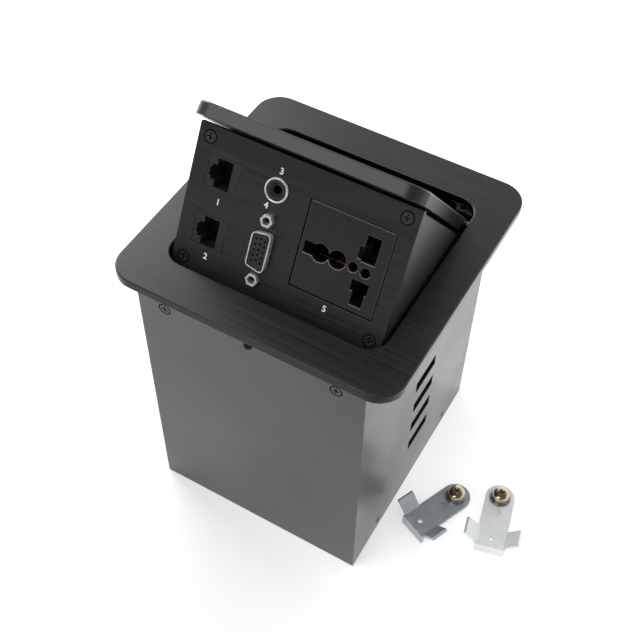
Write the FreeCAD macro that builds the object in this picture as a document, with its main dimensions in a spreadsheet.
import FreeCAD, Part
import math
import os
import Sketcher

# Flip-up desk connection box, millimetres.
# X runs to the right, Y to the back and Z up. The origin is the middle of the housing's underside.
# The drawing pose is the open one. Pieces of the tilting module are drawn in its shut position
# and then swung up about the hinge pins.

V3 = FreeCAD.Vector
X_AXIS = V3(1, 0, 0)
SMALL_SIDES = 12

SIZES = {
    # flange and its window
    "flange_width": 128.0,
    "flange_depth": 126.0,
    "flange_thick": 4.0,
    "flange_corner": 11.5,
    "flange_bevel": 0.5,
    "window_margin": 3.0,
    "window_depth": 90.5,
    "window_corner": 8.5,
    # sheet steel housing
    "housing_width": 103.5,
    "housing_depth": 118.0,
    "housing_height": 142.5,
    "wall": 1.2,
    "bend": 2.2,
    "slot_length": 19.0,
    "slot_height": 7.0,
    "slot_pitch": 15.5,
    "slot_lowest": 30.9,
    "slot_middle": 1.6,
    "wall_screw_inset": 12.75,
    "wall_screw_drop": 9.2,
    "latch_hole_drop": 7.0,
    "foot_screw_y": 34.7,
    "foot_screw_height": 6.0,
    "tray_lip": 11.0,
    # lid and hinge
    "lid_gap": 0.75,
    "lid_thick": 5.5,
    "lid_bevel": 0.6,
    "tilt": 50.3,
    "hinge_inset": 11.5,
    "pin_radius": 1.25,
    "pin_length": 13.0,
    "run_fit": 0.06,
    # sheet frame under the lid
    "frame_gap": 1.3,
    "frame_sheet": 1.2,
    "frame_clearance": 1.55,
    "frame_bend": 1.6,
    "frame_low_inset": 12.0,
    "frame_low_drop": 10.9,
    "frame_rear_inset": 0.5,
    "frame_rear_drop": 3.7,
    "pan_lip": 6.0,
    "stop_reach": 28.75,
    "stop_radius": 2.0,
    "stop_gap": 0.2,
    "tab_width": 8.6,
    "tab_height": 8.8,
    "lid_screw_front_x": 20.0,
    "lid_screw_front_back": 10.5,
    "lid_screw_rear_x": 33.0,
    "lid_screw_rear_ahead": 7.75,
    # connector panel
    "panel_overhang": 0.05,
    "panel_height": 60.0,
    "panel_thick": 2.0,
    "panel_rake": 21.1,
    "panel_setback": 11.2,
    "panel_screw_inset": 5.25,
    "panel_screw_drop": 4.7,
    "small_screw": 1.5,
    "head_radius": 2.6,
    # network jacks
    "jack_inset": 14.05,
    "jack_high": 12.75,
    "jack_pitch": 24.1,
    "jack_width": 14.0,
    "jack_height": 13.0,
    "jack_depth": 17.0,
    "jack_mouth_x": 0.2,
    "jack_mouth_width": 6.8,
    "jack_mouth_height": 11.8,
    "jack_mouth_depth": 12.5,
    # audio jack and video connector
    "audio_x": -9.9,
    "audio_y": 15.8,
    "audio_ring": 5.0,
    "audio_bore": 1.85,
    "video_y": -9.0,
    "video_pitch": 25.0,
    "video_length": 16.9,
    "video_breadth": 8.3,
    "video_proud": 3.2,
    "video_corner": 1.9,
    "post_bore": 1.6,
    "post_proud": 2.6,
    # mains outlet
    "outlet_inset": 24.75,
    "outlet_y": 0.3,
    "outlet_side": 36.0,
    "outlet_face": 2.4,
    "outlet_pan_clearance": 3.70,
    "outlet_web_clearance": 2.59,
    "contact_setback": 5.5,
    "outlet_slot_reach": 14.7,
    "outlet_earth_left": 8.9,
    "outlet_round": 3.7,
    "outlet_small_round": 2.0,
    "fit_gap": 0.25,
    # toothed sector and damper
    "sector_teeth": 36.0,
    "pinion_teeth": 12.0,
    "tooth": 1.0,
    "sector_face": 2.0,
    "mesh_angle": 66.0,
    "damper_radius": 8.0,
    "damper_length": 9.4,
    "damper_clearance": 0.1,
    "bracket_sheet": 1.5,
    "bracket_rivet_reach": 7.5,
    "bracket_rivet_spread": 6.5,
    # cable hole in the rear wall
    "cable_x": 0.0,
    "cable_z": 24.0,
    "cable_hole": 7.0,
    # corner brackets
    "corner_clearance": 1.55,
    "corner_drop": 15.5,
    "corner_width": 8.4,
    "corner_sheet": 2.0,
    "flange_screw_gap": 0.3,
    # mains terminals and earth stud on the tray
    "terminal_y": 30.0,
    "terminal_pitch": 10.0,
    "terminal_depth": 16.0,
    "terminal_height": 13.0,
    "earth_stud_inset": 19.75,
    # push latch
    "latch_width": 12.0,
    "latch_depth": 10.2,
    "latch_height": 24.0,
    "latch_travel": 3.0,
    "latch_screw": 1.0,
    "latch_screw_head": 1.9,
    # loose clamps
    "clamp_length": 34.0,
    "clamp_width": 14.0,
    "clamp_sheet": 1.5,
    "clamp_lift": 5.0,
    "clamp_ear": 8.8,
    "clamp_ear_width": 8.5,
    "clamp_thread": 2.4,
    "clamp_head": 4.0,
    "collar_radius": 5.0,
    "collar_height": 2.6,
    "clamp_1_away": 26.75,
    "clamp_1_y": -5.0,
    "clamp_1_turn": -23.6,
    "clamp_2_away": 45.55,
    "clamp_2_y": 5.0,
    "clamp_2_turn": 13.7,
}

doc = FreeCAD.newDocument("desk_connection_box")
sheet = doc.addObject("Spreadsheet::Sheet", "sizes")
for row, (alias, amount) in enumerate(SIZES.items(), start=1):
    sheet.set(f"A{row}", alias.replace("_", " "))
    sheet.set(f"B{row}", str(amount))
    sheet.setAlias(f"B{row}", alias)
doc.recompute()


class Size:
    """A number together with the spreadsheet expression that gives it."""

    def __init__(self, value, text):
        self.value = float(value)
        self.text = text

    def __add__(self, other):
        return Size(self.value + number(other), f"({self.text} + {words(other)})")

    def __radd__(self, other):
        return Size(number(other) + self.value, f"({words(other)} + {self.text})")

    def __sub__(self, other):
        return Size(self.value - number(other), f"({self.text} - {words(other)})")

    def __rsub__(self, other):
        return Size(number(other) - self.value, f"({words(other)} - {self.text})")

    def __mul__(self, other):
        return Size(self.value * number(other), f"({self.text} * {words(other)})")

    __rmul__ = __mul__

    def __truediv__(self, other):
        return Size(self.value / number(other), f"({self.text} / {words(other)})")

    def __neg__(self):
        return Size(-self.value, f"(-{self.text})")


def number(thing):
    return thing.value if isinstance(thing, Size) else float(thing)


def words(thing):
    return thing.text if isinstance(thing, Size) else f"{float(thing):.6f}"


def size(alias):
    return Size(sheet.get(alias), f"sizes.{alias}")


def sine(angle):
    return Size(math.sin(math.radians(number(angle))), f"sin({words(angle)})")


def cosine(angle):
    return Size(math.cos(math.radians(number(angle))), f"cos({words(angle)})")


def least(first, second):
    return Size(min(number(first), number(second)), f"min({words(first)}; {words(second)})")


def bind(thing, name, amount):
    """Set a property, and tie it to the spreadsheet where the amount comes from there."""
    if isinstance(amount, Size):
        thing.setExpression(name, amount.text)
    else:
        setattr(thing, name, amount)


def new_body(label):
    body = doc.addObject("PartDesign::Body", label)
    body.Label = label
    return body


def new_sketch(body, role, offset=0.0):
    """A sketch on one of the body's own planes, moved along the plane's normal."""
    sketch = body.newObject("Sketcher::SketchObject", f"{body.Name}_sketch")
    plane = [item for item in body.Origin.OriginFeatures if item.Role == role][0]
    sketch.AttachmentSupport = [(plane, "")]
    sketch.MapMode = "FlatFace"
    if isinstance(offset, Size):
        sketch.setExpression("AttachmentOffset.Base.z", offset.text)
    elif offset:
        sketch.AttachmentOffset = FreeCAD.Placement(V3(0, 0, offset), FreeCAD.Rotation())
    return sketch


def pin_point(sketch, index, end, x, y):
    """Fix one end of a sketch element at x, y from the sketch's origin."""
    for kind, amount, axis in (("DistanceX", x, -2), ("DistanceY", y, -1)):
        if abs(number(amount)) < 1e-7:
            sketch.addConstraint(Sketcher.Constraint("PointOnObject", index, end, axis))
            continue
        made = sketch.addConstraint(Sketcher.Constraint(kind, -1, 1, index, end, number(amount)))
        if isinstance(amount, Size):
            sketch.setExpression(f"Constraints[{made}]", amount.text)


def polygon(sketch, points):
    """A closed outline through the given corners."""
    first = sketch.GeometryCount
    count = len(points)
    for i in range(count):
        a = points[i]
        b = points[(i + 1) % count]
        start = V3(number(a[0]), number(a[1]), 0)
        end = V3(number(b[0]), number(b[1]), 0)
        sketch.addGeometry(Part.LineSegment(start, end), False)
    for i in range(count):
        joined = Sketcher.Constraint("Coincident", first + i, 2, first + (i + 1) % count, 1)
        sketch.addConstraint(joined)
    for i, (x, y) in enumerate(points):
        pin_point(sketch, first + i, 1, x, y)


def rectangle(sketch, x, y, width, height):
    """A rectangle about the centre x, y."""
    left = x - width / 2
    right = x + width / 2
    low = y - height / 2
    high = y + height / 2
    polygon(sketch, [(left, low), (right, low), (right, high), (left, high)])


def circle(sketch, x, y, radius):
    made = sketch.addGeometry(Part.Circle(V3(number(x), number(y), 0), V3(0, 0, 1), number(radius)), False)
    rule = sketch.addConstraint(Sketcher.Constraint("Radius", made, number(radius)))
    if isinstance(radius, Size):
        sketch.setExpression(f"Constraints[{rule}]", radius.text)
    pin_point(sketch, made, 3, x, y)


def pad(body, sketch, length, both=False, back=False):
    made = body.newObject("PartDesign::Pad", f"{body.Name}_pad")
    made.Profile = sketch
    bind(made, "Length", length)
    if both:
        made.SideType = "Symmetric"
    made.Reversed = back
    doc.recompute()
    return made


def pocket(body, sketch, length=None, both=False, back=False):
    """Cut a sketch out of the body, right through if no length is given."""
    before = body.Shape.Volume
    made = body.newObject("PartDesign::Pocket", f"{body.Name}_pocket")
    made.Profile = sketch
    if length is None:
        made.Type = "ThroughAll"
    else:
        bind(made, "Length", length)
    if both:
        made.SideType = "Symmetric"
    made.Reversed = back
    doc.recompute()
    if body.Shape.Volume > before - 1e-6:
        raise RuntimeError(f"{body.Label}: a pocket cut nothing")
    return made


def upright_edges(shape, keep=None):
    """Names of the straight edges that run along Z, those that keep() accepts."""
    found = []
    for i, edge in enumerate(shape.Edges, start=1):
        a = edge.Vertexes[0].Point
        b = edge.Vertexes[-1].Point
        straight = isinstance(edge.Curve, Part.Line)
        if straight and abs(a.x - b.x) < 1e-6 and abs(a.y - b.y) < 1e-6:
            if keep is None or keep(a):
                found.append(f"Edge{i}")
    return found


def ring_edges(shape, keep):
    """Names of the circular edges whose centre keep() accepts."""
    found = []
    for i, edge in enumerate(shape.Edges, start=1):
        if isinstance(edge.Curve, Part.Circle) and keep(edge.Curve.Center):
            found.append(f"Edge{i}")
    return found


def rim_edges(shape, height, keep=None):
    """Names of the edges that lie in the plane Z = height."""
    found = []
    for i, edge in enumerate(shape.Edges, start=1):
        box = edge.BoundBox
        if abs(box.ZMin - height) < 1e-6 and abs(box.ZMax - height) < 1e-6:
            if keep is None or keep(edge):
                found.append(f"Edge{i}")
    return found


def dress(body, kind, edges, amount):
    """A fillet or chamfer on named edges of the body's last feature."""
    base = body.Tip
    made = body.newObject(f"PartDesign::{kind}", f"{body.Name}_{kind.lower()}")
    made.Base = (base, edges)
    bind(made, "Radius" if kind == "Fillet" else "Size", amount)
    doc.recompute()
    return made


def feature(label, shape):
    """A sub-part whose shape is worked out here from the sheet's sizes."""
    made = doc.addObject("Part::Feature", label)
    made.Label = label
    made.Shape = shape
    return made


def seat(item, where):
    """Carry a sub-part, drawn in some frame, to where that frame lies."""
    item.Placement = where.multiply(item.Placement)
    return item


def copies(label, form, places):
    """One node that holds the same small piece at several places."""
    return feature(label, Part.makeCompound([form.transformed(spot.Matrix) for spot in places]))


def spot(x, y, z, rotation=None):
    turn = rotation if rotation is not None else FreeCAD.Rotation()
    return FreeCAD.Placement(V3(number(x), number(y), number(z)), turn)


def turned(profile):
    """A solid of revolution about Z through (radius, height) points."""
    points = [V3(r, 0, h) for r, h in profile]
    wire = Part.makePolygon(points + [points[0]])
    return Part.Face(wire).revolve(V3(0, 0, 0), V3(0, 0, 1), 360)


def faceted(profile, sides=SMALL_SIDES):
    """The same form with flat sides, for small pieces that repeat."""
    steps = [2 * math.pi * i / sides for i in range(sides)]
    rings = [[V3(r * math.cos(a), r * math.sin(a), h) for a in steps] for r, h in profile]
    faces = []
    for i, ring in enumerate(rings):
        following = rings[(i + 1) % len(rings)]
        for j in range(sides):
            k = (j + 1) % sides
            corners = []
            for point in (ring[j], ring[k], following[k], following[j]):
                if all(point.distanceToPoint(other) > 1e-7 for other in corners):
                    corners.append(point)
            if len(corners) > 2:
                faces.append(Part.Face(Part.makePolygon(corners + [corners[0]])))
    form = Part.Solid(Part.Shell(faces)).removeSplitter()
    if form.Volume < 0:
        form.reverse()
    return form


def drill(radius, length, base, direction):
    """A flat-sided rod, for the small holes that repeat."""
    form = faceted([(0, 0), (radius, 0), (radius, length), (0, length)])
    form.Placement = FreeCAD.Placement(base, FreeCAD.Rotation(V3(0, 0, 1), direction))
    return form


def plate(points, thick):
    """A flat plate through XY points, thick upwards from Z = 0."""
    wire = Part.makePolygon([V3(x, y, 0) for x, y in points] + [V3(points[0][0], points[0][1], 0)])
    return Part.Face(wire).extrude(V3(0, 0, thick))


def block(x0, x1, y0, y1, z0, z1):
    return Part.makeBox(x1 - x0, y1 - y0, z1 - z0, V3(x0, y0, z0))


def rod(radius, length, base, direction):
    return Part.makeCylinder(radius, length, base, direction)


# Sizes that follow from the driving ones
flange_width = size("flange_width")
flange_depth = size("flange_depth")
flange_thick = size("flange_thick")
window_depth = size("window_depth")
housing_width = size("housing_width")
window_width = housing_width - 2 * size("window_margin")
housing_depth = size("housing_depth")
housing_height = size("housing_height")
wall = size("wall")
lid_width = window_width - 2 * size("lid_gap")
lid_depth = window_depth - 2 * size("lid_gap")
lid_thick = size("lid_thick")
lid_corner = size("window_corner") - size("lid_gap")
deck = housing_height + flange_thick
lid_under = deck - lid_thick
frame_top = lid_under - size("frame_gap")
frame_sheet = size("frame_sheet")
frame_width = window_width - 2 * size("frame_clearance")
frame_half = frame_width / 2
frame_low_y = lid_depth / 2 - size("frame_low_inset")
frame_rear_y = lid_depth / 2 - size("frame_rear_inset")
hinge_y = window_depth / 2 - size("hinge_inset")
hinge_z = deck - flange_thick / 2
rake = size("panel_rake")
half_height = size("panel_height") / 2
panel_thick = size("panel_thick")
panel_width = frame_width + 2 * size("panel_overhang")
panel_screw_x = panel_width / 2 - size("panel_screw_inset")
panel_screw_y = half_height - size("panel_screw_drop")
jack_x = size("jack_inset") - panel_width / 2
outlet_x = panel_width / 2 - size("outlet_inset")
outlet_earth_x = outlet_x - size("outlet_earth_left")
wall_screw_x = housing_width / 2 - size("wall_screw_inset")
panel_top_y = -lid_depth / 2 + size("panel_setback")
panel_y = panel_top_y + half_height * sine(rake)
panel_z = frame_top - half_height * cosine(rake)
# Room for the outlet behind the panel, along its depth, down to the lower edge of the cheeks and up to the web
corner_y = frame_low_y - panel_y
corner_z = frame_top - size("frame_low_drop") - panel_z
corner_depth = corner_y * cosine(rake) + corner_z * sine(rake)
corner_up = corner_z * cosine(rake) - corner_y * sine(rake)
outlet_low = size("outlet_y") - size("outlet_side") / 2
outlet_high = size("outlet_y") + size("outlet_side") / 2
depth_per_rise = (corner_depth - panel_thick) / (corner_up + half_height)
lower_room = panel_thick + (outlet_low + half_height) * depth_per_rise - size("outlet_pan_clearance")
web_drop = (half_height - outlet_high) * cosine(rake) - frame_sheet
upper_room = web_drop / sine(rake) - size("outlet_web_clearance")
outlet_depth = least(lower_room, upper_room) - size("outlet_face")
mesh_radius = size("tooth") * (size("sector_teeth") + size("pinion_teeth")) / 2
damper_y = hinge_y + mesh_radius * cosine(size("mesh_angle"))
damper_z = hinge_z - mesh_radius * sine(size("mesh_angle"))
damper_outer_x = frame_sheet + size("sector_face") + size("damper_clearance") - frame_half
damper_inner_x = damper_outer_x + size("damper_length")
bracket_rivet_x = damper_inner_x + size("bracket_rivet_reach")
inner_y = housing_depth / 2 - wall
corner_leg = inner_y - window_depth / 2 - size("corner_clearance")
flange_screw_y = inner_y - size("corner_sheet") - size("head_radius") - size("flange_screw_gap")
screw_hole = size("small_screw") + size("run_fit")
latch_screw_hole = size("latch_screw") + size("run_fit")
sink_wanted = size("head_radius") + 0.05 - screw_hole
sink = least(sink_wanted, 0.92 * wall)
HEAD = number(screw_hole + sink) - 0.05
SHANK = number(size("small_screw"))
FIT = number(size("fit_gap"))
RUN = number(size("run_fit"))

hinge = V3(0, number(hinge_y), number(hinge_z))
open_turn = FreeCAD.Rotation(X_AXIS, -number(size("tilt")))
swung = FreeCAD.Placement(V3(0, 0, 0), open_turn, hinge)
panel_shut = FreeCAD.Placement(
    V3(0, number(panel_y), number(panel_z)), FreeCAD.Rotation(X_AXIS, 90 + number(rake))
)
on_panel = swung.multiply(panel_shut)


PAN_HEAD = 0.62


def at_depth(up, depth):
    """Y and Z, in the shut position, of a point up the panel and behind its front."""
    return (
        panel_y - up * sine(rake) + depth * cosine(rake),
        panel_z + up * cosine(rake) + depth * sine(rake),
    )


def phillips_screw(radius, head, length, countersunk=True):
    """A cross-head screw along -Z with the top of its head at Z = 0."""
    head_high = (head - radius) if countersunk else head * PAN_HEAD
    if countersunk:
        form = faceted([(0, 0), (head, 0), (radius, -head_high), (radius, -length), (0, -length)])
    else:
        form = faceted([(0, 0), (head * 0.6, 0), (head * 0.93, -head_high * 0.4), (head, -head_high),
                       (radius, -head_high), (radius, -length), (0, -length)])
    deep = min(head_high * 0.8, 1.3)
    for angle in (0, 90):
        arm = block(-head * 0.62, head * 0.62, -head * 0.13, head * 0.13, -deep, 1)
        arm.rotate(V3(0, 0, 0), V3(0, 0, 1), angle)
        form = form.cut(arm)
    return form


# The flange plate: rounded, bevelled, with the rounded window and a hinge bore in each side of it
def make_flange_plate():
    body = new_body("flange_plate")
    outline = new_sketch(body, "XY_Plane", housing_height)
    rectangle(outline, 0 * flange_width, 0 * flange_depth, flange_width, flange_depth)
    pad(body, outline, flange_thick)
    dress(body, "Fillet", upright_edges(body.Shape), size("flange_corner"))
    opening = new_sketch(body, "XY_Plane", deck)
    rectangle(opening, 0 * window_width, 0 * window_depth, window_width, window_depth)
    pocket(body, opening)
    inside_x = number(window_width) / 2 + 0.1
    inside_y = number(window_depth) / 2 + 0.1
    corners = upright_edges(body.Shape, lambda p: abs(p.x) < inside_x and abs(p.y) < inside_y)
    dress(body, "Fillet", corners, size("window_corner"))
    dress(body, "Chamfer", rim_edges(body.Shape, number(deck)), size("flange_bevel"))
    bores = new_sketch(body, "YZ_Plane")
    circle(bores, hinge_y, hinge_z, size("pin_radius"))
    pocket(body, bores, window_width + size("pin_length"), both=True)
    threads = new_sketch(body, "XY_Plane", housing_height)
    for side in (-1, 1):
        for end in (-1, 1):
            circle(threads, side * wall_screw_x, end * flange_screw_y, screw_hole)
    pocket(body, threads, flange_thick * 0.7, back=True)
    return body


# Left, rear and right walls: one bent sheet with four clamp slots in each side
def make_housing_wrap():
    body = new_body("housing_wrap")
    half = housing_width / 2
    back = housing_depth / 2
    front = wall - housing_depth / 2
    plan = new_sketch(body, "XY_Plane")
    polygon(plan, [
        (-half, front), (-half, back), (half, back), (half, front),
        (half - wall, front), (half - wall, inner_y), (wall - half, inner_y), (wall - half, front),
    ])
    pad(body, plan, housing_height)
    outer = upright_edges(body.Shape, lambda p: p.y > number(back) - 0.01)
    dress(body, "Fillet", outer, size("bend"))
    inner = upright_edges(body.Shape, lambda p: abs(p.y - number(inner_y)) < 0.01)
    dress(body, "Fillet", inner, size("bend") - wall)
    slots = new_sketch(body, "YZ_Plane")
    for i in range(4):
        middle = size("slot_lowest") + size("slot_height") / 2 + i * size("slot_pitch")
        rectangle(slots, size("slot_middle"), middle, size("slot_length"), size("slot_height"))
    pocket(body, slots, both=True)
    feet = new_sketch(body, "YZ_Plane")
    for side in (-1, 1):
        circle(feet, side * size("foot_screw_y"), size("foot_screw_height"), screw_hole)
    pocket(body, feet, both=True)
    rear = new_sketch(body, "XZ_Plane", -inner_y)
    for side in (-1, 1):
        circle(rear, side * wall_screw_x, housing_height - size("wall_screw_drop"), screw_hole)
        circle(rear, bracket_rivet_x, damper_z + side * size("bracket_rivet_spread"), screw_hole)
    circle(rear, size("cable_x"), size("cable_z"), size("cable_hole"))
    pocket(body, rear, wall)
    sides = number(housing_width) / 2
    sunk = ring_edges(body.Shape, lambda c: abs(abs(c.x) - sides) < 0.01
                      or (abs(c.y - number(back)) < 0.01 and c.z > number(damper_z) + 8))
    dress(body, "Chamfer", sunk, sink)
    return body


# Front wall: a flat sheet over the edges of the side walls
def make_front_wall():
    body = new_body("front_wall")
    face = new_sketch(body, "XZ_Plane", housing_depth / 2)
    rectangle(face, 0 * wall, housing_height / 2, housing_width, housing_height)
    pad(body, face, wall, back=True)
    holes = new_sketch(body, "XZ_Plane", housing_depth / 2)
    for side in (-1, 1):
        circle(holes, side * wall_screw_x, housing_height - size("wall_screw_drop"), screw_hole)
    circle(holes, 0 * wall, housing_height - size("latch_hole_drop"), latch_screw_hole)
    pocket(body, holes)
    front = -number(housing_depth) / 2
    sunk = ring_edges(body.Shape, lambda c: abs(c.y - front) < 0.01 and abs(c.x) > 1)
    dress(body, "Chamfer", sunk, sink)
    return body


# Bottom: a shallow tray, its lips inside the side walls
def make_bottom_tray():
    body = new_body("bottom_tray")
    gap = size("fit_gap")
    half = housing_width / 2 - wall - gap
    front = gap - inner_y
    back = inner_y - gap
    floor_plan = new_sketch(body, "XZ_Plane", -back)
    lip = size("tray_lip")
    polygon(floor_plan, [
        (-half, 0 * wall), (half, 0 * wall), (half, lip), (half - wall, lip), (half - wall, wall),
        (wall - half, wall), (wall - half, lip), (-half, lip),
    ])
    pad(body, floor_plan, back - front)
    rear_y = number(back) - 0.01
    corners = upright_edges(body.Shape, lambda p: p.y > rear_y and abs(p.x) > number(half) - 0.01)
    dress(body, "Fillet", corners, size("bend") - wall)
    feet = new_sketch(body, "YZ_Plane")
    for side in (-1, 1):
        circle(feet, side * size("foot_screw_y"), size("foot_screw_height"), screw_hole)
    pocket(body, feet, both=True)
    return body


# Lid: rounded block with a bevelled rim, hinge bores in its ends and threaded holes underneath
def make_lid():
    body = new_body("lid")
    outline = new_sketch(body, "XY_Plane", lid_under)
    rectangle(outline, 0 * lid_width, 0 * lid_depth, lid_width, lid_depth)
    pad(body, outline, lid_thick)
    dress(body, "Fillet", upright_edges(body.Shape), lid_corner)
    dress(body, "Chamfer", rim_edges(body.Shape, number(deck)), size("lid_bevel"))
    for side in (-1, 1):
        bore = new_sketch(body, "YZ_Plane", side * lid_width / 2)
        circle(bore, hinge_y, hinge_z, size("pin_radius") + size("run_fit"))
        pocket(body, bore, size("pin_length") / 2, back=side < 0)
    threads = new_sketch(body, "XY_Plane", lid_under)
    for x, y in lid_screw_spots():
        circle(threads, x, y, screw_hole)
    pocket(body, threads, lid_thick * 0.7, back=True)
    return seat(body, swung)


def lid_screw_spots():
    spots = []
    for side in (-1, 1):
        spots.append((side * size("lid_screw_front_x"), panel_y + size("lid_screw_front_back")))
        spots.append((side * size("lid_screw_rear_x"), hinge_y - size("lid_screw_rear_ahead")))
    return spots


def raked_sketch(body, depth):
    """A sketch parallel to the connector panel, a given depth behind its front face."""
    sketch = new_sketch(body, "XZ_Plane")
    base = FreeCAD.Placement(V3(0, number(panel_z), -number(panel_y)), FreeCAD.Rotation(X_AXIS, number(rake)))
    sketch.AttachmentOffset = base.multiply(FreeCAD.Placement(V3(0, 0, -number(depth)), FreeCAD.Rotation()))
    return sketch


def runs_along_y(edge, half):
    """Whether an edge is parallel to Y at a distance half from the middle plane."""
    box = edge.BoundBox
    return box.XLength < 1e-6 and abs(abs(box.XMin) - half) < 1e-6


def frame_side_points():
    """The outline of a cheek, in Y and Z: raked front edge, sloping lower edge, short rear edge."""
    reach = half_height - panel_thick * sine(rake) / cosine(rake)
    return [
        at_depth(reach, panel_thick),
        at_depth(-half_height, panel_thick),
        (frame_low_y, frame_top - size("frame_low_drop")),
        (frame_rear_y, frame_top - size("frame_rear_drop")),
        (frame_rear_y, frame_top),
    ]


# Tilting frame: one sheet bent down at both sides, with four tabs that the panel screws into
def make_tilt_frame():
    body = new_body("tilt_frame")
    cheek = new_sketch(body, "YZ_Plane")
    polygon(cheek, frame_side_points())
    pad(body, cheek, frame_width, both=True)
    inside = new_sketch(body, "XY_Plane")
    rectangle(inside, 0 * wall, 0 * wall, 2 * (frame_half - frame_sheet), 2 * housing_depth)
    pocket(body, inside, frame_top - frame_sheet, back=True)
    for half, height, radius in (
        (frame_half, frame_top, size("frame_bend")),
        (frame_half - frame_sheet, frame_top - frame_sheet, size("frame_bend") - frame_sheet),
    ):
        bends = rim_edges(body.Shape, number(height), lambda edge: runs_along_y(edge, number(half)))
        dress(body, "Fillet", bends, radius)
    tab_rear = panel_thick + frame_sheet
    for side in (-1, 1):
        tabs = new_sketch(body, "YZ_Plane", side * (frame_half - size("tab_width")))
        for end in (-1, 1):
            tip = end * half_height
            root = end * (half_height - size("tab_height"))
            polygon(tabs, [
                at_depth(root, panel_thick), at_depth(tip - TAB_TRIM * end, panel_thick),
                at_depth(tip - TAB_TRIM * end, tab_rear), at_depth(root, tab_rear),
            ])
        pad(body, tabs, size("tab_width"), back=side < 0)
    holes = raked_sketch(body, panel_thick)
    for x, y in panel_screw_spots():
        circle(holes, x, y, screw_hole)
    pocket(body, holes, 1.4 * frame_sheet)
    lid_holes = new_sketch(body, "XY_Plane", frame_top)
    for x, y in lid_screw_spots():
        circle(lid_holes, x, y, screw_hole)
    pocket(body, lid_holes, frame_sheet)
    stops = new_sketch(body, "YZ_Plane")
    stop = stop_shut()
    circle(stops, stop.y, stop.z, RIVET)
    pocket(body, stops, both=True)
    left = new_sketch(body, "YZ_Plane", -frame_half)
    for y, z in sector_rivet_spots():
        circle(left, y, z, RIVET + RUN)
    pocket(body, left, frame_sheet, back=True)
    return seat(body, swung)


TAB_TRIM = 1.2
RIVET = 0.9


def panel_screw_spots():
    x = panel_screw_x
    y = panel_screw_y
    return [(-x, -y), (x, -y), (x, y), (-x, y)]


def stop_open():
    """Centre of the stop buffers with the module open, just under the flange."""
    height = housing_height - size("stop_gap") - size("stop_radius")
    return V3(0, number(hinge_y - size("stop_reach")), number(height))


def stop_shut():
    return swung.inverse().multVec(stop_open())


def around_hinge(radius, degrees):
    angle = math.radians(degrees)
    return (hinge.y + radius * math.cos(angle), hinge.z + radius * math.sin(angle))


def sector_rivet_spots():
    return [around_hinge(SECTOR_INNER + 2.7, -68), around_hinge(SECTOR_INNER + 2.2, -47.5)]


# Bottom pan: closes the underside of the module, its lips inside the cheeks
def make_bottom_pan():
    body = new_body("bottom_pan")
    half = number(frame_half - frame_sheet) - FIT
    low_front, low_rear, rear = [
        V3(0, number(y), number(z)) for y, z in frame_side_points()[1:4]
    ]
    along = (low_rear - low_front).normalize()
    up = V3(0, -math.sin(math.radians(number(rake))), math.cos(math.radians(number(rake))))
    inward = V3(0, up.z, -up.y)
    start = low_front + along * ((number(frame_sheet) + FIT) / along.dot(inward))
    rise = (rear - low_rear).normalize()
    first = V3(0, -along.z, along.y)
    second = V3(0, -rise.z, rise.y)

    def raised(amount):
        """The lower edge moved inwards by an amount: front end, bend and rear end."""
        bend = low_rear + (first + second) * (amount / (1 + first.dot(second)))
        return [start + up * (amount / up.dot(first)), bend, rear + second * amount]

    sheet_in = number(frame_sheet)
    section = new_sketch(body, "YZ_Plane")
    polygon(section, [(p.y, p.z) for p in [start, low_rear, rear] + raised(sheet_in)[::-1]])
    pad(body, section, 2 * half, both=True)
    lip = number(size("pan_lip"))
    lip_end = start + along * (0.5 * (low_rear - start).Length)
    for side in (-1, 1):
        lips = new_sketch(body, "YZ_Plane", side * half)
        polygon(lips, [(p.y, p.z) for p in (start, lip_end, lip_end + first * lip, raised(lip)[0])])
        pad(body, lips, sheet_in, back=side > 0)
    notches = new_sketch(body, "XY_Plane")
    notch_front = around_hinge(0, 0)[0] + SECTOR_INNER * math.cos(math.radians(75))
    notch = half - number(size("sector_face")) - 1.0
    stem = 2 * (STOP_STEM_REACH + RUN)
    stem_y = stop_shut().y
    for side in (-1, 1):
        rectangle(notches, side * (notch + NOTCH / 2), notch_front + NOTCH, NOTCH, 2 * NOTCH)
        rectangle(notches, side * half, stem_y, stem, 2 * (RIVET + STOP_STEM_REACH / 2 + FIT))
    pocket(body, notches, both=True)
    return seat(body, swung)


SECTOR_INNER = 8.5
NOTCH = 10.0
STOP_STEM_REACH = 1.6


# Connector panel: the openings take the pieces behind it with a small gap all round
def make_connector_panel():
    body = new_body("connector_panel")
    gap = size("fit_gap")
    outline = new_sketch(body, "XY_Plane", -panel_thick)
    rectangle(outline, 0 * gap, 0 * gap, panel_width, size("panel_height"))
    pad(body, outline, panel_thick)
    cuts = new_sketch(body, "XY_Plane")
    for high in jack_heights():
        rectangle(cuts, jack_x, high, size("jack_width") + 2 * gap, size("jack_height") + 2 * gap)
    side = size("outlet_side") + 2 * gap
    rectangle(cuts, outlet_x, size("outlet_y"), side, side)
    circle(cuts, size("audio_x"), size("audio_y"), size("audio_ring") * 0.85)
    polygon(cuts, video_outline(number(gap)))
    for end in (-1, 1):
        circle(cuts, size("audio_x"), size("video_y") + end * size("video_pitch") / 2, screw_hole)
    for x, y in panel_screw_spots():
        circle(cuts, x, y, screw_hole)
    pocket(body, cuts)
    reach = number(panel_screw_x) - 1
    sunk = ring_edges(body.Shape, lambda c: abs(c.z) < 0.01 and abs(c.x) > reach)
    dress(body, "Chamfer", sunk, sink)
    return seat(body, on_panel)


def jack_heights():
    return [size("jack_high"), size("jack_high") - size("jack_pitch")]


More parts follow.
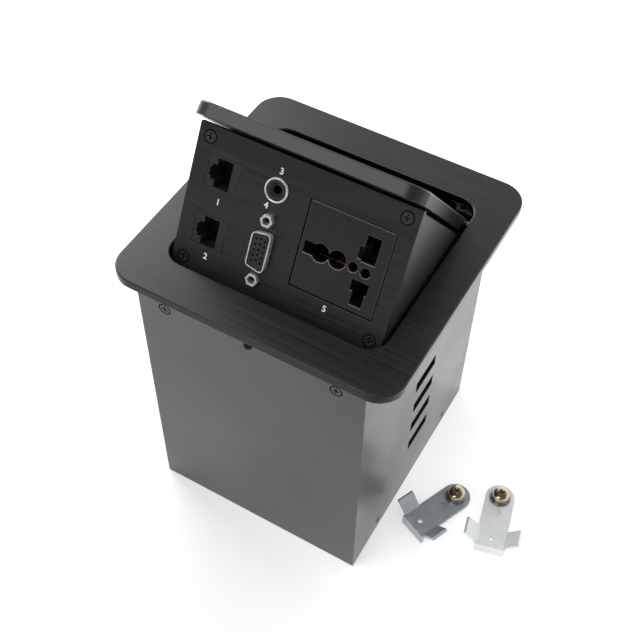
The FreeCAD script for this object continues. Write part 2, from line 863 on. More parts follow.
def video_outline(grow):
    """The rounded D-shaped outline, its long side to the right, moved out by an amount."""
    x = number(size("audio_x"))
    y = number(size("video_y"))
    half = number(size("video_length")) / 2 + grow
    wide = number(size("video_breadth")) / 2 + grow
    slope = 2 * wide * math.tan(math.radians(VIDEO_SLOPE))
    corners = [V3(x + wide, y - half, 0), V3(x + wide, y + half, 0),
               V3(x - wide, y + half - slope, 0), V3(x - wide, y - half + slope, 0)]
    return rounded(corners, number(size("video_corner")) + grow)


VIDEO_SLOPE = 10
CORNER_CHORDS = 4


def rounded(corners, radius):
    """An outline through the corners, each rounded off by short chords."""
    points = []
    for i, corner in enumerate(corners):
        before = (corners[i - 1] - corner).normalize()
        after = (corners[(i + 1) % len(corners)] - corner).normalize()
        half = before.getAngle(after) / 2
        centre = corner + (before + after).normalize() * (radius / math.sin(half))
        arm = corner + before * (radius / math.tan(half)) - centre
        turn = 180 - 2 * math.degrees(half)
        for k in range(CORNER_CHORDS + 1):
            point = centre + FreeCAD.Rotation(V3(0, 0, 1), turn * k / CORNER_CHORDS).multVec(arm)
            points.append((point.x, point.y))
    return points


# Network jack: a block with a stepped mouth for the plug and its latch
def make_network_jack(label, high):
    body = new_body(label)
    x = jack_x
    block_plan = new_sketch(body, "XY_Plane", -size("jack_depth"))
    rectangle(block_plan, x, high, size("jack_width"), size("jack_height"))
    pad(body, block_plan, size("jack_depth"))
    lugs = new_sketch(body, "XY_Plane", -(panel_thick + LUG_THICK))
    rectangle(lugs, x, high, size("jack_width") - 4, size("jack_height") + 2 * LUG_REACH)
    pad(body, lugs, LUG_THICK)
    left = x + size("jack_mouth_x") - size("jack_mouth_width") / 2
    right = left + size("jack_mouth_width")
    tall = size("jack_mouth_height") / 2
    mouth = new_sketch(body, "XY_Plane")
    first = left - JACK_STEP
    second = first - JACK_NOTCH
    polygon(mouth, [
        (right, high - tall), (right, high + tall), (left, high + tall), (left, high + STEP_HALF),
        (first, high + STEP_HALF), (first, high + NOTCH_HALF), (second, high + NOTCH_HALF),
        (second, high - NOTCH_HALF), (first, high - NOTCH_HALF), (first, high - STEP_HALF),
        (left, high - STEP_HALF), (left, high - tall),
    ])
    pocket(body, mouth, size("jack_mouth_depth"))
    return seat(body, on_panel)


LUG_THICK = 1.4
LUG_REACH = 1.0
JACK_STEP = 1.9
JACK_NOTCH = 0.9
STEP_HALF = 3.1
NOTCH_HALF = 1.9


# Eight sprung wires slant across the mouth from its right-hand wall
def make_jack_contacts(label, high):
    x = number(jack_x + size("jack_mouth_x") + size("jack_mouth_width") / 2)
    deep = number(size("jack_mouth_depth"))
    pitch = 1.02
    half_wire = 0.22
    rear = 0.2 - deep
    profile = [V3(x - 0.05, 0, -1.5), V3(x - 0.05, 0, -1.95), V3(x - 1.8, 0, rear), V3(x - 2.2, 0, rear)]
    wires = []
    for i in range(8):
        middle = number(high) + (i - 3.5) * pitch
        wire = Part.Face(Part.makePolygon(profile + [profile[0]])).extrude(V3(0, 2 * half_wire, 0))
        wire.translate(V3(0, middle - half_wire, 0))
        wires.append(wire)
    return seat(feature(label, Part.makeCompound(wires)), on_panel)


# Audio jack: black bushing, metal sleeve in its bore and a slotted ring nut on the panel's front
def make_audio_jack():
    x = number(size("audio_x"))
    y = number(size("audio_y"))
    ring = number(size("audio_ring"))
    bore = number(size("audio_bore"))
    back = -number(panel_thick) - 0.05
    neck = ring * 0.83
    sleeve = bore + 0.25
    bushing = faceted([
        (sleeve + 0.05, -0.5), (sleeve + 0.9, 0.5), (neck - 0.3, 0.5), (neck, 0.2), (neck, back),
        (ring + 0.8, back), (ring + 0.8, back - 9), (1.2, back - 9), (1.2, back - 8), (sleeve + 0.05, back - 8),
    ], 2 * SMALL_SIDES)
    inner = neck + RUN
    nut = turned([(inner, 0), (ring, 0), (ring, 0.55), (ring - 0.2, 0.9), (inner + 0.2, 0.9), (inner, 0.75)])
    for angle in (40, 220):
        notch = block(neck - 1, ring + 1, -0.5, 0.5, 0.45, 2)
        notch.rotate(V3(0, 0, 0), V3(0, 0, 1), angle)
        nut = nut.cut(notch)
    tube = faceted([(bore, -0.6), (sleeve, -0.6), (sleeve, back - 7), (bore, back - 7)], 2 * SMALL_SIDES)
    made = []
    for label, form in (("audio_bushing", bushing), ("audio_ring_nut", nut), ("audio_sleeve", tube)):
        form.translate(V3(x, y, 0))
        made.append(seat(feature(label, form), on_panel))
    return made


# Video connector: plated shell on its flange, insulator with three rows of sockets, two hexagon posts
def make_video_connector():
    x = number(size("audio_x"))
    y = number(size("video_y"))
    proud = number(size("video_proud"))
    half_pitch = number(size("video_pitch")) / 2
    back = -number(panel_thick) - 0.05
    tall = half_pitch + VIDEO_FLANGE_END
    flange = block(x - VIDEO_FLANGE_HALF, x + VIDEO_FLANGE_HALF, y - tall, y + tall, back - 1, back)
    upright = [e for e in flange.Edges if abs(e.Vertexes[0].Z - e.Vertexes[-1].Z) > 0.5]
    flange = flange.makeFillet(2.0, upright)
    outer = plate(video_outline(0), proud - back + 1)
    outer.translate(V3(0, 0, back - 1))
    inner = plate(video_outline(-SHELL_SHEET), proud - back + 2)
    inner.translate(V3(0, 0, back - 1.5))
    shell = flange.fuse(outer).cut(inner).removeSplitter()
    for end in (-1, 1):
        shell = shell.cut(drill(SHANK + RUN, 5, V3(x, y + end * half_pitch, back - 2), V3(0, 0, 1)))
    insulator = plate(video_outline(-SHELL_SHEET - 0.05), proud - 0.5 - (back - 6))
    insulator.translate(V3(0, 0, back - 6))
    holes = []
    for row, shift in ((-1, 0.0), (0, 0.5), (1, 0.0)):
        for i in range(5):
            spot_y = y + (i - 2 + shift * 0.5) * VIDEO_PIN_PITCH
            hole = Part.Face(hexagon(VIDEO_SOCKET)).extrude(V3(0, 0, 4))
            hole.translate(V3(x + row * VIDEO_ROW_PITCH, spot_y, proud - 3.5))
            holes.append(hole)
    insulator = insulator.cut(Part.makeCompound(holes))
    high = number(size("post_proud"))
    bore = number(size("post_bore"))
    post = Part.Face(hexagon(POST_RADIUS)).extrude(V3(0, 0, high))
    post = post.fuse(drill(SHANK, high - back, V3(0, 0, back - 1), V3(0, 0, 1)))
    post = post.cut(drill(bore, high, V3(0, 0, 0.3), V3(0, 0, 1)))
    post = post.cut(drill(0.7 * bore, high, V3(0, 0, -1.5), V3(0, 0, 1))).removeSplitter()
    made = [feature("video_shell", shell), feature("video_insulator", insulator)]
    places = [spot(x, y + end * half_pitch, 0) for end in (-1, 1)]
    made.append(copies("video_posts", post, places))
    return [seat(item, on_panel) for item in made]


SHELL_SHEET = 0.5
VIDEO_PIN_PITCH = 2.29
VIDEO_ROW_PITCH = 1.95
VIDEO_SOCKET = 0.55
POST_RADIUS = 2.75
VIDEO_FLANGE_HALF = 6.2
VIDEO_FLANGE_END = 2.9


def hexagon(radius):
    corners = [V3(radius * math.cos(math.radians(60 * i)), radius * math.sin(math.radians(60 * i)), 0)
               for i in range(7)]
    return Part.makePolygon(corners)


# Mains outlet: square face with round, flat and angled openings for several kinds of plug
def make_outlet_face():
    body = new_body("outlet_face")
    face = size("outlet_face")
    side = size("outlet_side")
    outline = new_sketch(body, "XY_Plane", -face)
    rectangle(outline, outlet_x, size("outlet_y"), side, side)
    pad(body, outline, face)
    rim = [
        f"Edge{i}" for i, edge in enumerate(body.Shape.Edges, start=1)
        if all(abs(v.Z) < 1e-6 for v in edge.Vertexes)
    ]
    dress(body, "Chamfer", rim, OUTLET_BEVEL)
    earth = outlet_earth_x
    round_radius = size("outlet_round")
    second = second_round()
    small = new_sketch(body, "XY_Plane")
    circle(small, earth, size("outlet_y") - 0.9, round_radius)
    for i in range(2):
        circle(small, second + 6.7 + 5.3 * i, size("outlet_y") - 0.8 - 0.4 * i, size("outlet_small_round"))
    right = second + size("outlet_slot_reach")
    polygon(small, [
        (right - 5.9, 3.0), (right, 3.0), (right, 13.6), (right - 5.9, 13.6), (right - 5.9, 8.5),
        (right - 7.6, 8.5), (right - 7.6, 3.7), (right - 5.9, 3.7),
    ])
    polygon(small, [
        (right - 7.0, -4.8), (right + 0.2, -4.8), (right + 0.2, -9.3), (right - 0.6, -9.3),
        (right - 0.6, -14.8), (right - 5.6, -14.8), (right - 5.6, -9.3), (right - 7.0, -9.3),
    ])
    pocket(body, small)
    flat = new_sketch(body, "XY_Plane")
    rectangle(flat, earth - round_radius - 1.4, size("outlet_y") - 0.65, 4.2, 4.9)
    circle(flat, second, size("outlet_y") - 0.7, round_radius - 0.05)
    pocket(body, flat)
    neck = new_sketch(body, "XY_Plane")
    rectangle(neck, earth + round_radius, size("outlet_y") - 0.8, 2.4, 2.2)
    pocket(body, neck)
    return seat(body, on_panel)


OUTLET_BEVEL = 0.5
OUTLET_WALL = 1.6


def second_round():
    """X of the second large round opening, which runs into the first."""
    return outlet_earth_x + 2 * size("outlet_round") - 0.1


# Behind the face a box holds the three sprung contacts
def make_outlet_body():
    body = new_body("outlet_body")
    face = size("outlet_face")
    side = size("outlet_side") - size("fit_gap")
    outline = new_sketch(body, "XY_Plane", -(face + outlet_depth))
    rectangle(outline, outlet_x, size("outlet_y"), side, side)
    pad(body, outline, outlet_depth)
    hollow = new_sketch(body, "XY_Plane", -face)
    inner = side - 2 * OUTLET_WALL
    rectangle(hollow, outlet_x, size("outlet_y"), inner, inner)
    pocket(body, hollow, outlet_depth - OUTLET_WALL)
    return seat(body, on_panel)


def contact_channel(length, gap, front, back):
    """A bent strip along Y with its two sprung leaves pinched towards each other at the mouth."""
    half = gap / 2
    sheet_thick = 0.6
    points = [
        (-half - 1.2, front), (-half + 0.2, front - 3), (-half - 0.4, back + sheet_thick),
        (half + 0.4, back + sheet_thick), (half - 0.2, front - 3), (half + 1.2, front),
        (half + 1.2 + sheet_thick, front), (half - 0.2 + sheet_thick, front - 3),
        (half + 0.4 + sheet_thick, back), (-half - 0.4 - sheet_thick, back),
        (-half + 0.2 - sheet_thick, front - 3), (-half - 1.2 - sheet_thick, front),
    ]
    wire = Part.makePolygon([V3(x, 0, z) for x, z in points + [points[0]]])
    strip = Part.Face(wire).extrude(V3(0, length, 0))
    strip.translate(V3(0, -length / 2, 0))
    return strip


# Live and neutral contacts stand upright behind their slots, the earth contact lies across the round ones
def make_outlet_contacts():
    front = -number(size("outlet_face") + size("contact_setback"))
    back = -number(size("outlet_face") + outlet_depth) + OUTLET_WALL + 0.05
    middle_y = number(size("outlet_y")) - 0.8
    slots = number(second_round() + size("outlet_slot_reach")) - SLOT_HALF
    made = []
    for label, y in (("live_contact", LIVE_Y), ("neutral_contact", NEUTRAL_Y)):
        strip = contact_channel(SLOT_CONTACT, 2.4, front, back)
        strip.translate(V3(slots, y, 0))
        made.append(feature(label, strip))
    strip = contact_channel(EARTH_CONTACT, 4.4, front, back)
    strip.rotate(V3(0, 0, 0), V3(0, 0, 1), 90)
    strip.translate(V3(number(outlet_earth_x + size("outlet_round")) - 0.1, middle_y, 0))
    made.append(feature("earth_contact", strip))
    return [seat(item, on_panel) for item in made]


SLOT_HALF = 3.2
SLOT_CONTACT = 9.0
EARTH_CONTACT = 13.5
LIVE_Y = 8.3
NEUTRAL_Y = -9.8


def panel_screws():
    form = phillips_screw(SHANK, HEAD, number(panel_thick + frame_sheet) + 1.2)
    places = [spot(x, y, 0) for x, y in panel_screw_spots()]
    return seat(copies("panel_screws", form, places), on_panel)


# Four screws from below, each through a spacer ring, hold the frame to the lid
def lid_fasteners():
    upside_down = FreeCAD.Rotation(X_AXIS, 180)
    head = number(size("head_radius"))
    length = head * PAN_HEAD + number(frame_sheet + size("frame_gap") + lid_thick * 0.6)
    form = phillips_screw(SHANK, head, length, countersunk=False)
    under_head = number(frame_top - frame_sheet) - head * PAN_HEAD
    screws = copies("lid_screws", form, [spot(x, y, under_head, upside_down) for x, y in lid_screw_spots()])
    inner = number(screw_hole)
    high = number(size("frame_gap"))
    ring = faceted([(inner, 0), (SPACER_RADIUS, 0), (SPACER_RADIUS, high), (inner, high)])
    spacers = copies("lid_spacers", ring, [spot(x, y, frame_top) for x, y in lid_screw_spots()])
    return [seat(screws, swung), seat(spacers, swung)]


SPACER_RADIUS = 4.0


# Rubber buffers on the cheeks, each a disc with a stem that snaps through the sheet
def stop_buffers():
    radius = number(size("stop_radius"))
    half = number(frame_half)
    reach = 2.7
    inside = number(frame_sheet)
    tip = -inside - STOP_STEM_REACH
    stem = RIVET - RUN
    form = faceted([
        (0, tip), (stem + 0.1, tip), (stem + 0.9, -inside - 0.05), (stem, -inside - 0.05),
        (stem, 0.05), (radius, 0.05), (radius, reach - 0.4), (radius - 0.4, reach), (0, reach),
    ])
    centre = stop_open()
    places = [
        spot(side * half, centre.y, centre.z, FreeCAD.Rotation(V3(0, 1, 0), side * 90)) for side in (-1, 1)
    ]
    return copies("stop_buffers", form, places)


def involute(angle):
    return math.tan(angle) - angle


def tooth_flank(pitch_radius, teeth, low, high):
    """Radius and half angle at points up one flank of a tooth, thinned a little for backlash."""
    pressure = math.radians(20)
    base = pitch_radius * math.cos(pressure)
    half_at_pitch = math.pi / (2 * teeth) - BACKLASH / (2 * pitch_radius)
    start = max(base, low)
    points = []
    for i in range(4):
        radius = start + (high - start) * i / 3
        half = half_at_pitch + involute(pressure) - involute(math.acos(min(1.0, base / radius)))
        points.append((radius, half))
    if low < base:
        points.insert(0, (low, points[0][1]))
    return points


BACKLASH = 0.16


def toothed_outline(pitch_radius, teeth, tip, root, centres):
    """Points of consecutive teeth about their centre angles, in degrees."""
    points = []
    flank = tooth_flank(pitch_radius, teeth, root, tip)
    for centre in centres:
        middle = math.radians(centre)
        for radius, half in flank:
            points.append((radius * math.cos(middle - half), radius * math.sin(middle - half)))
        for radius, half in flank[::-1]:
            points.append((radius * math.cos(middle + half), radius * math.sin(middle + half)))
    return points


# Toothed sector on the left cheek, concentric with the hinge
def make_gear_sector():
    tooth = number(size("tooth"))
    teeth = number(size("sector_teeth"))
    radius = tooth * teeth / 2
    step = 360 / teeth
    first = number(size("tilt")) - number(size("mesh_angle"))
    centres = [first - step * i for i in range(5, -1, -1)]
    points = toothed_outline(radius, teeth, radius + 0.9 * tooth, radius - 1.2 * tooth, centres)
    root = radius - 1.2 * tooth
    low = math.radians(centres[0] - 0.6 * step)
    high = math.radians(centres[-1] + 0.4 * step)
    points = [(root * math.cos(low), root * math.sin(low))] + points
    points.append((root * math.cos(high), root * math.sin(high)))
    for i in range(9):
        angle = high + (low - high) * i / 8
        points.append((SECTOR_INNER * math.cos(angle), SECTOR_INNER * math.sin(angle)))
    thick = number(size("sector_face"))
    form = upright_plate(points, thick, -number(frame_half - frame_sheet))
    form.translate(V3(0, hinge.y, hinge.z))
    web = number(frame_top - frame_sheet) - 2 * FIT
    rear = number(lid_depth) / 2 + FIT
    far = number(housing_width + housing_height)
    form = form.cut(block(-far, far, -far, rear, web, far))
    for y, z in sector_rivet_spots():
        form = form.cut(drill(RIVET + RUN, far, V3(-far, y, z), X_AXIS))
    sector = seat(feature("gear_sector", form), swung)
    length = thick + number(frame_sheet)
    rivet = faceted([
        (0, -length), (RIVET, -length), (RIVET, 0.05), (RIVET + 0.5, 0.05), (RIVET + 0.3, 0.55), (0, 0.7),
    ])
    across = FreeCAD.Rotation(V3(0, 1, 0), 90)
    face = -number(frame_half - frame_sheet) + thick
    places = [spot(face, y, z, across) for y, z in sector_rivet_spots()]
    rivets = seat(copies("sector_rivets", rivet, places), swung)
    return [sector, rivets]


def upright_plate(points, thick, x):
    """A plate through Y, Z points, thick towards +X from x."""
    wire = Part.makePolygon([V3(x, y, z) for y, z in points + [points[0]]])
    return Part.Face(wire).extrude(V3(thick, 0, 0))


# Damper pinion: twelve teeth and a shaft that enters the damper
def make_damper_pinion():
    tooth = number(size("tooth"))
    teeth = number(size("pinion_teeth"))
    radius = tooth * teeth / 2
    step = 360 / teeth
    gap_towards = 180 - number(size("mesh_angle"))
    centres = [gap_towards + step * (i + 0.5) for i in range(int(teeth))]
    points = toothed_outline(radius, teeth, radius + 0.9 * tooth, radius - 1.2 * tooth, centres)
    thick = number(size("sector_face"))
    x = -number(frame_half - frame_sheet)
    gear = upright_plate(points, thick - 0.1, x + 0.05)
    end = number(damper_inner_x) - DAMPER_FLOOR - 0.3
    shaft = rod(SHAFT, end - x - 1, V3(x + 1, 0, 0), X_AXIS)
    form = gear.fuse(shaft).removeSplitter()
    form.translate(V3(0, number(damper_y), number(damper_z)))
    return feature("damper_pinion", form)


SHAFT = 2.0
DAMPER_FLOOR = 1.5
DAMPER_WALL = 1.0
EAR_ANGLE = 60
EAR_REACH = 10.5
EAR_RADIUS = 3.0
BRACKET_LOW = 13.0
BRACKET_HIGH = 13.5
BRACKET_REACH = 9.0


# Damper: a round can with two ears, its cover and the flat spiral spring that lifts the module
def make_damper():
    radius = number(size("damper_radius"))
    inner_x = number(damper_inner_x)
    outer_x = number(damper_outer_x)
    cover = 1.0
    ear = EAR_REACH * math.cos(math.radians(EAR_ANGLE)), EAR_REACH * math.sin(math.radians(EAR_ANGLE))
    can = rod(radius, inner_x - outer_x - cover, V3(outer_x + cover, 0, 0), X_AXIS)
    arm = block(inner_x - 2, inner_x, -EAR_REACH, EAR_REACH, -EAR_RADIUS, EAR_RADIUS)
    arm.rotate(V3(0, 0, 0), X_AXIS, EAR_ANGLE)
    can = can.fuse(arm)
    for side in (-1, 1):
        can = can.fuse(rod(EAR_RADIUS, 2, V3(inner_x - 2, side * ear[0], side * ear[1]), X_AXIS))
    hollow = radius - DAMPER_WALL
    can = can.cut(rod(hollow, inner_x - outer_x - cover - DAMPER_FLOOR, V3(outer_x + cover, 0, 0), X_AXIS))
    for side in (-1, 1):
        can = can.cut(drill(RIVET + RUN, 4, V3(inner_x - 3, side * ear[0], side * ear[1]), X_AXIS))
    lid_disc = rod(radius, cover, V3(outer_x, 0, 0), X_AXIS)
    lid_disc = lid_disc.cut(rod(SHAFT + RUN, 4, V3(outer_x - 1, 0, 0), X_AXIS))
    centre = V3(0, number(damper_y), number(damper_z))
    spring = spiral_strip(SHAFT + 0.35, hollow - 0.2, 3.5, 0.25, inner_x - outer_x - cover - DAMPER_FLOOR - 1.0)
    spring.rotate(V3(0, 0, 0), V3(0, 1, 0), 90)
    spring.translate(V3(outer_x + cover + 0.5, 0, 0))
    made = []
    for label, form in (("damper_can", can), ("damper_cover", lid_disc), ("lift_spring", spring)):
        form.translate(centre)
        made.append(feature(label, form))
    screw = phillips_screw(RIVET, 2.1, 2 + number(size("bracket_sheet")), countersunk=False)
    towards = FreeCAD.Rotation(V3(0, 1, 0), -90)
    top = inner_x - 2 - 2.1 * PAN_HEAD
    places = [spot(top, centre.y + side * ear[0], centre.z + side * ear[1], towards) for side in (-1, 1)]
    made.append(copies("damper_screws", screw, places))
    return made


def spiral_strip(first, last, turns, thick, width):
    """A flat strip wound in a spiral about Z, from one radius to another."""
    steps = int(turns * 16)
    inside = []
    outside = []
    for i in range(steps + 1):
        angle = 2 * math.pi * turns * i / steps
        radius = first + (last - thick - first) * i / steps
        inside.append((radius * math.cos(angle), radius * math.sin(angle)))
        outside.append(((radius + thick) * math.cos(angle), (radius + thick) * math.sin(angle)))
    return plate(inside + outside[::-1], width)


# Damper bracket: a bent plate riveted to the rear wall
def make_damper_bracket():
    inner_x = damper_inner_x + 0.1
    sheet_in = size("bracket_sheet")
    wall_y = inner_y - 0.05
    body = new_body("damper_bracket")
    flank = new_sketch(body, "YZ_Plane", inner_x)
    polygon(flank, [
        (wall_y, damper_z - BRACKET_LOW), (wall_y, damper_z + BRACKET_HIGH),
        (damper_y + 4.5, damper_z + BRACKET_HIGH), (damper_y - BRACKET_REACH, damper_z - 4),
        (damper_y - BRACKET_REACH, damper_z - BRACKET_LOW),
    ])
    pad(body, flank, sheet_in)
    foot = new_sketch(body, "XY_Plane", damper_z - BRACKET_LOW)
    foot_end = bracket_rivet_x + 6
    polygon(foot, [
        (inner_x, wall_y - sheet_in), (foot_end, wall_y - sheet_in), (foot_end, wall_y), (inner_x, wall_y),
    ])
    pad(body, foot, BRACKET_LOW + BRACKET_HIGH)
    rivets = new_sketch(body, "XZ_Plane", -(wall_y - sheet_in))
    for side in (-1, 1):
        circle(rivets, bracket_rivet_x, damper_z + side * size("bracket_rivet_spread"), screw_hole)
    pocket(body, rivets, sheet_in)
    screws = new_sketch(body, "YZ_Plane", inner_x + sheet_in)
    ear = EAR_REACH * math.cos(math.radians(EAR_ANGLE)), EAR_REACH * math.sin(math.radians(EAR_ANGLE))
    for side in (-1, 1):
        circle(screws, damper_y + side * ear[0], damper_z + side * ear[1], RIVET + RUN)
    pocket(body, screws, sheet_in)
    return body


def bracket_rivets():
    length = number(wall + size("bracket_sheet")) + 0.1
    form = faceted([
        (0, 0.9), (2.0, 0.9), (2.4, 0.05), (SHANK, 0.05), (SHANK, -length), (2.3, -length),
        (2.1, -length - 0.8), (0, -length - 0.8),
    ])
    backwards = FreeCAD.Rotation(X_AXIS, -90)
    x = bracket_rivet_x
    places = [
        spot(x, housing_depth / 2, damper_z + side * size("bracket_rivet_spread"), backwards)
        for side in (-1, 1)
    ]
    return copies("bracket_rivets", form, places)


# Corner brackets join the walls to the flange plate: angles with a threaded hole in each leg
def make_corner_brackets():
    width = number(size("corner_width"))
    thick = number(size("corner_sheet"))
    reach = number(corner_leg)
    drop = number(size("corner_drop"))
    top = number(housing_height)
    wall_y = number(inner_y)
    profile = [(wall_y, top), (wall_y, top - drop), (wall_y - thick, top - drop), (wall_y - thick, top - thick),
               (wall_y - reach, top - thick), (wall_y - reach, top)]
    form = upright_plate(profile, width, -width / 2)
    bend = [e for e in form.Edges
            if all(abs(v.Y - wall_y) < 1e-6 and abs(v.Z - top) < 1e-6 for v in e.Vertexes)]
    form = form.makeFillet(thick * 0.6, bend)
    hole = number(screw_hole)
    low = top - number(size("wall_screw_drop"))
    form = form.cut(drill(hole, 3 * thick, V3(0, wall_y + 1, low), V3(0, -1, 0)))
    form = form.cut(drill(hole, 3 * thick, V3(0, number(flange_screw_y), top + 1), V3(0, 0, -1)))
    return copies("corner_brackets", form, corner_places())


def corner_places():
    """Frames of the four corners: each is turned half round for the front ones."""
    around = FreeCAD.Rotation(V3(0, 0, 1), 180)
    x = wall_screw_x
    return [spot(x, 0, 0), spot(-x, 0, 0), spot(x, 0, 0, around), spot(-x, 0, 0, around)]


def housing_screws():
    """Screws of the flange, of the walls and of the bottom tray."""
    head = number(size("head_radius"))
    upside_down = FreeCAD.Rotation(X_AXIS, 180)
    backwards = FreeCAD.Rotation(X_AXIS, -90)
    high = number(housing_height - size("corner_sheet")) - head * PAN_HEAD
    form = phillips_screw(SHANK, head, head * PAN_HEAD + number(size("corner_sheet")) + 2.6, countersunk=False)
    seat_up = spot(0, flange_screw_y, high, upside_down)
    flange = copies("flange_screws", form, [place.multiply(seat_up) for place in corner_places()])
    form = phillips_screw(SHANK, HEAD, 6.0)
    seat_back = spot(0, housing_depth / 2, housing_height - size("wall_screw_drop"), backwards)
    walls = copies("wall_screws", form, [place.multiply(seat_back) for place in corner_places()])
    form = phillips_screw(SHANK, HEAD, 5.0)
    places = [
        spot(side * housing_width / 2, end * size("foot_screw_y"), size("foot_screw_height"),
             FreeCAD.Rotation(V3(0, 1, 0), side * 90))
        for side in (-1, 1) for end in (-1, 1)
    ]
    return [flange, walls, copies("foot_screws", form, places)]


def hinge_pins():
    length = number(size("pin_length"))
    middle = number(window_width) / 2
    radius = number(size("pin_radius"))
    end = length / 2
    form = turned([(0, -end), (radius - 0.2, -end), (radius, 0.3 - end), (radius, end), (0, end)])
    places = [
        spot(side * middle, hinge.y, hinge.z, FreeCAD.Rotation(V3(0, 1, 0), side * 90)) for side in (-1, 1)
    ]
    return copies("hinge_pins", form, places)


# Push latch inside the front wall: body with a lug for its screw, spring and stepped plunger
def make_latch():
    width = number(size("latch_width"))
    depth = number(size("latch_depth"))
    wall_y = number(wall - housing_depth / 2) + 0.05
    screw_z = number(housing_height - size("latch_hole_drop"))
    top = screw_z - 2.2
    bottom = top - number(size("latch_height"))
    lug = 3.2
    form = block(-width / 2, width / 2, wall_y, wall_y + depth, bottom, top)
    form = form.fuse(block(-width / 2, width / 2, wall_y, wall_y + lug, top - 1, screw_z + 3.5))
    form = form.removeSplitter()
    stem_y = wall_y + lug + 0.6 + 2.0
    bore = rod(2.5 + RUN, number(size("latch_height")) - 4, V3(0, stem_y, bottom + 4), V3(0, 0, 1))
    form = form.cut(bore)
    form = form.cut(drill(number(latch_screw_hole), lug + 2, V3(0, wall_y - 1, screw_z), V3(0, 1, 0)))
    cap_top = number(lid_under) - 0.3
    cap_low = top + number(size("latch_travel")) + 0.3
    stem_low = bottom + 4 + 8 + 0.1
    plunger = rod(2.5, cap_low + 1 - stem_low, V3(0, stem_y, stem_low), V3(0, 0, 1))
    reach = number(-lid_depth / 2) + 1.8
    cap = block(-5, 5, wall_y + lug + 0.4, reach, cap_low, cap_top)
    upright = [e for e in cap.Edges if abs(e.Vertexes[0].Z - e.Vertexes[-1].Z) > 0.5]
    cap = cap.makeFillet(1.0, upright)
    plunger = plunger.fuse(cap).removeSplitter()
    spring = coil(1.7, 0.28, 8.0, 5)
    spring.translate(V3(0, stem_y, bottom + 4))
    head = number(size("latch_screw_head"))
    length = head * PAN_HEAD + number(wall) + lug
    screw = phillips_screw(number(size("latch_screw")), head, length, countersunk=False)
    front = number(-housing_depth / 2) - head * PAN_HEAD
    forwards = FreeCAD.Rotation(X_AXIS, 90)
    return [
        feature("latch_body", form), feature("latch_spring", spring), feature("latch_plunger", plunger),
        copies("latch_screw", screw, [spot(0, front, screw_z, forwards)]),
    ]


def coil(radius, wire, length, turns):
    """A square wire wound about Z as one unbroken tube, eight straight runs to a turn."""
    steps = 8 * turns
    rise = (length - 2 * wire) / steps
    points = []
    for i in range(steps + 1):
        angle = math.radians(45 * i)
        points.append(V3(radius * math.cos(angle), radius * math.sin(angle), wire + rise * i))
    along = points[1] - points[0]
    across = along.cross(V3(0, 0, 1)).normalize() * wire
    up = across.cross(along).normalize() * wire
    start = points[0]
    corners = [start + across + up, start - across + up, start - across - up, start + across - up]
    section = Part.makePolygon(corners + [corners[0]])
    return Part.makePolygon(points).makePipeShell([section], True, False, 1)


# Cable grommet in the rear wall: a rubber ring with a groove for the sheet
def make_cable_grommet():
    hole = number(size("cable_hole"))
    half = number(wall) / 2 + 0.03
    bore = hole * 0.5
    form = faceted([
        (0, -2.6), (hole + 1.2, -2.6), (hole + 2.0, -2.0), (hole + 2.0, -half), (hole - 0.05, -half),
        (hole - 0.05, half), (hole + 2.0, half), (hole + 1.6, 1.8), (hole + 0.8, 2.4), (0, 2.4),
    ], 2 * SMALL_SIDES)
    form = form.cut(rod(bore, 8, V3(0, 0, -4), V3(0, 0, 1)))
    backwards = FreeCAD.Rotation(X_AXIS, -90)
    middle = housing_depth / 2 - wall / 2
    return copies("cable_grommet", form, [spot(size("cable_x"), middle, size("cable_z"), backwards)])


# Mains terminals and the earth stud stand on the bottom tray
def make_terminals():
    floor = number(wall)
    pitch = number(size("terminal_pitch"))
    half = number(size("terminal_depth")) / 2
    high = number(size("terminal_height"))
    y = number(size("terminal_y"))
    form = block(-1.5 * pitch, 1.5 * pitch, y - half, y + half, floor, floor + 4)
    for i in (-1, 0, 1):
        form = form.fuse(block(i * pitch - 4, i * pitch + 4, y - half, y + half, floor + 3, floor + high))
    for i in (-1, 0, 1):
        x = i * pitch
        entry = block(-WIRE_HALF, WIRE_HALF, y - 2 * half, y + 2 * half, floor + 3.5, floor + 7.5)
        entry.translate(V3(x, 0, 0))
        form = form.cut(entry)
        for end in (-1, 1):
            form = form.cut(drill(1.9, high, V3(x, y + end * 4.5, floor + 7), V3(0, 0, 1)))
    screw = faceted([(0, 0), (1.8, 0), (1.8, -3.6), (0, -3.6)]).cut(block(-2, 2, -0.3, 0.3, -0.8, 1))
    places = [spot(i * pitch, y + end * 4.5, floor + high - 1) for i in (-1, 0, 1) for end in (-1, 1)]
    block_node = feature("terminal_block", form.removeSplitter())
    screws = copies("terminal_screws", screw, places)
    stud = faceted([(0, 0), (3.6, 0), (3.6, 1.0), (STUD, 1.0), (STUD, 12), (0, 12)])
    stud_x = housing_width / 2 - size("earth_stud_inset")
    nut = Part.Face(hexagon(4.0)).extrude(V3(0, 0, 3.2)).cut(drill(STUD + RUN, 8, V3(0, 0, -1), V3(0, 0, 1)))
    studs = copies("earth_stud", stud, [spot(stud_x, y, floor)])
    return [block_node, screws, studs, copies("earth_nut", nut, [spot(stud_x, y, floor + 6)])]


WIRE_HALF = 2.0
STUD = 2.0


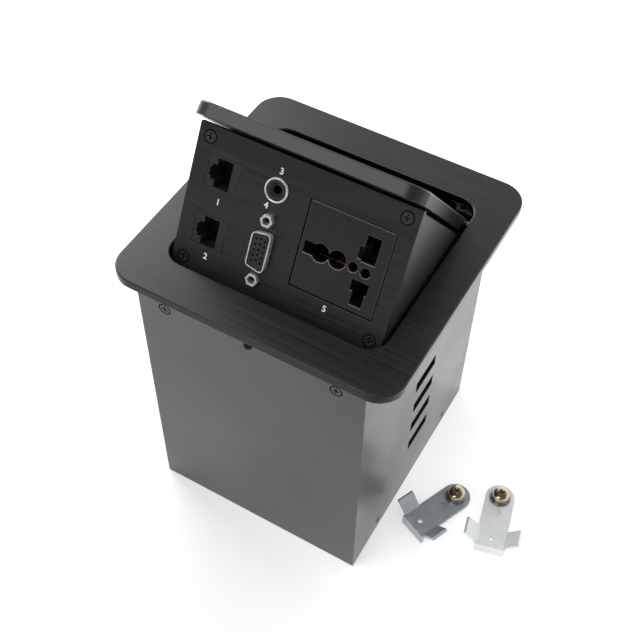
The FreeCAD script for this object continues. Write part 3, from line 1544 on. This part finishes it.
# Clamps: each a pressed plate with two ears and a turned-down lip, a thread collar and a screw
def make_clamp(label, where):
    body = new_body(label)
    half = size("clamp_width") / 2
    lift = size("clamp_lift")
    thick = size("clamp_sheet")
    end = half - size("clamp_length")
    tongue = new_sketch(body, "XY_Plane", lift)
    polygon(tongue, [(-half, end), (half, end), (half, 0 * half), (-half, 0 * half)])
    pad(body, tongue, thick)
    tip = new_sketch(body, "XY_Plane", lift)
    circle(tip, 0 * half, 0 * half, half)
    pad(body, tip, thick)
    lip = new_sketch(body, "YZ_Plane")
    polygon(lip, [(end, 0 * half), (end + thick, 0 * half), (end + thick, lift + thick), (end, lift + thick)])
    pad(body, lip, 2 * half, both=True)
    ears = new_sketch(body, "XZ_Plane", -(end + 1.2))
    rise = size("clamp_ear") * math.sqrt(0.5)
    across = thick * math.sqrt(0.5)
    for side in (-1, 1):
        polygon(ears, [
            (side * half, lift), (side * (half + rise), lift + rise),
            (side * (half + rise - across), lift + rise + across),
            (side * (half - thick * (math.sqrt(2) - 1)), lift + thick),
        ])
    pad(body, ears, size("clamp_ear_width"), back=True)
    holes = new_sketch(body, "XY_Plane", lift)
    circle(holes, 0 * half, 0 * half, size("clamp_thread") + size("run_fit"))
    circle(holes, 0 * half, end + 4.7, 1.1)
    pocket(body, holes, thick, back=True)
    dimple = new_sketch(body, "XY_Plane", lift + thick)
    circle(dimple, 0 * half, -7.9 + 0 * half, 1.6)
    pocket(body, dimple, 0.5)
    return seat(body, where)


def clamp_places():
    return [
        spot(housing_width / 2 + size(f"clamp_{i}_away"), size(f"clamp_{i}_y"), 0,
             FreeCAD.Rotation(V3(0, 0, 1), number(size(f"clamp_{i}_turn"))))
        for i in (1, 2)
    ]


def clamp_hardware():
    thread = number(size("clamp_thread"))
    top = number(size("clamp_lift") + size("clamp_sheet"))
    foot = number(size("collar_radius"))
    high = top + number(size("collar_height"))
    collar = faceted([
        (thread + RUN, top), (foot, top), (foot, top + 0.8), (0.74 * foot, top + 1.0), (0.68 * foot, high),
        (thread + RUN, high),
    ], 2 * SMALL_SIDES)
    nuts = copies("clamp_collars", collar, clamp_places())
    head = number(size("clamp_head"))
    head_top = high + 0.3 + head * PAN_HEAD
    form = phillips_screw(thread, head, head_top - 0.3, countersunk=False)
    screws = []
    for i, place in enumerate(clamp_places(), start=1):
        screws.append(copies(f"clamp_screw_{i}", form, [place.multiply(spot(0, 0, head_top))]))
    return [nuts] + screws


def build():
    made = [
        make_flange_plate(), make_housing_wrap(), make_front_wall(), make_bottom_tray(), make_corner_brackets(),
        hinge_pins(), make_damper_bracket(), bracket_rivets(), make_cable_grommet(),
        make_lid(), make_tilt_frame(), make_bottom_pan(), make_connector_panel(), panel_screws(),
        stop_buffers(), make_outlet_face(), make_outlet_body(), make_damper_pinion(),
    ]
    made += housing_screws() + make_latch() + make_damper() + make_terminals()
    made += lid_fasteners() + make_gear_sector() + make_audio_jack() + make_video_connector()
    made += make_outlet_contacts() + clamp_hardware()
    for i, high in enumerate(jack_heights(), start=1):
        made.append(make_network_jack(f"network_jack_{i}", high))
        made.append(make_jack_contacts(f"jack_contacts_{i}", high))
    for i, place in enumerate(clamp_places(), start=1):
        made.append(make_clamp(f"clamp_plate_{i}", place))
    return made


sub_parts = build()
doc.recompute()
for item in doc.Objects:
    if "Invalid" in item.State or "Error" in item.State:
        raise RuntimeError(f"{item.Label} did not compute")
for item in sub_parts:
    if item.Shape.isNull() or not item.Shape.isValid():
        raise RuntimeError(f"{item.Label} has no valid shape")

os.makedirs("parts", exist_ok=True)
for item in sub_parts:
    item.Shape.exportStep(f"parts/{item.Label}.step")
print(f"{len(sub_parts)} sub-parts written")
